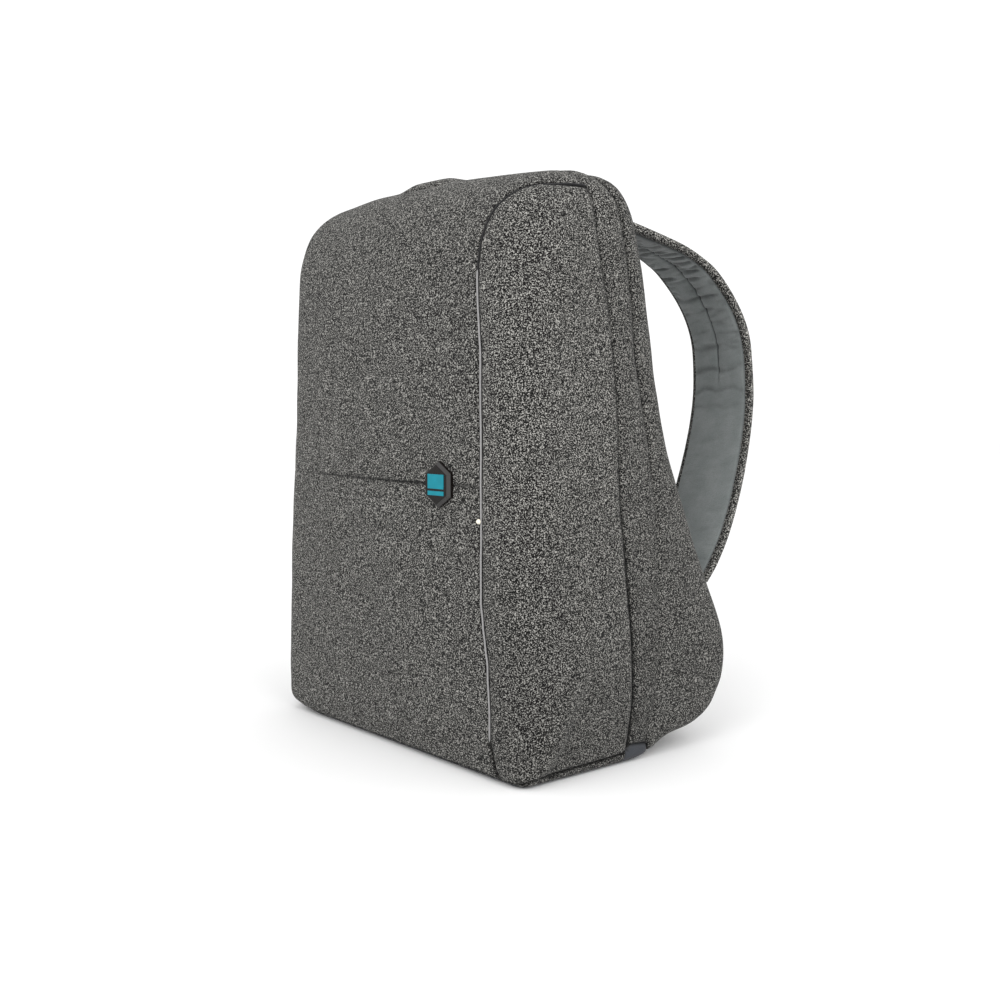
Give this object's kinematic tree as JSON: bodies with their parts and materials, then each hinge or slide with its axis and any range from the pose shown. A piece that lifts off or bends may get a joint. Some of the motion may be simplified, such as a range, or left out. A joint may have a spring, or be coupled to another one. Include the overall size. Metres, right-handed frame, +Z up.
{
  "type": "anti theft backpack",
  "caption": "Upright cloth backpack with an arched piped front opening, a badge, a low carry handle, a padded back with a lumbar swell and two padded shoulder straps.",
  "frame": {"origin": "middle of the whole bag's footprint, straps included, on the floor it stands on", "axes": "+Z up, -Y towards the front with the badge, +Y towards the shoulder straps, +X right seen from the front"},
  "size_m": [0.3432, 0.3256, 0.4472],
  "materials": {
    "melange_cloth": "salt and pepper melange weave, matt",
    "coated_cloth": "smooth coated cloth, dark blue grey",
    "lining_mesh": "light grey knitted lining, matt",
    "reflective_tape": "light grey reflective piping",
    "webbing": "black woven webbing",
    "badge_black": "glossy black",
    "badge_teal": "teal, satin",
    "stud_cream": "cream, satin",
    "black_plastic": "black, matt"
  },
  "bodies": {
    "root": {"front_panel_lower": "melange_cloth", "front_panel_upper": "melange_cloth", "side_panel_right": "melange_cloth", "side_panel_left": "melange_cloth", "gusset_left": "melange_cloth", "gusset_right": "melange_cloth", "gusset_top": "melange_cloth", "back_panel": "melange_cloth", "base_panel": "coated_cloth", "piping_right": "reflective_tape", "piping_stud": "stud_cream", "badge": "badge_black", "badge_tile": "badge_teal", "badge_bar": "badge_teal", "carry_handle": "melange_cloth", "shoulder_strap_right": "melange_cloth", "strap_lining_right": "lining_mesh", "lower_webbing_right": "webbing", "strap_adjuster_right": "black_plastic", "shoulder_strap_left": "melange_cloth", "strap_lining_left": "lining_mesh", "lower_webbing_left": "webbing", "strap_adjuster_left": "black_plastic"}
  },
  "joints": []
}
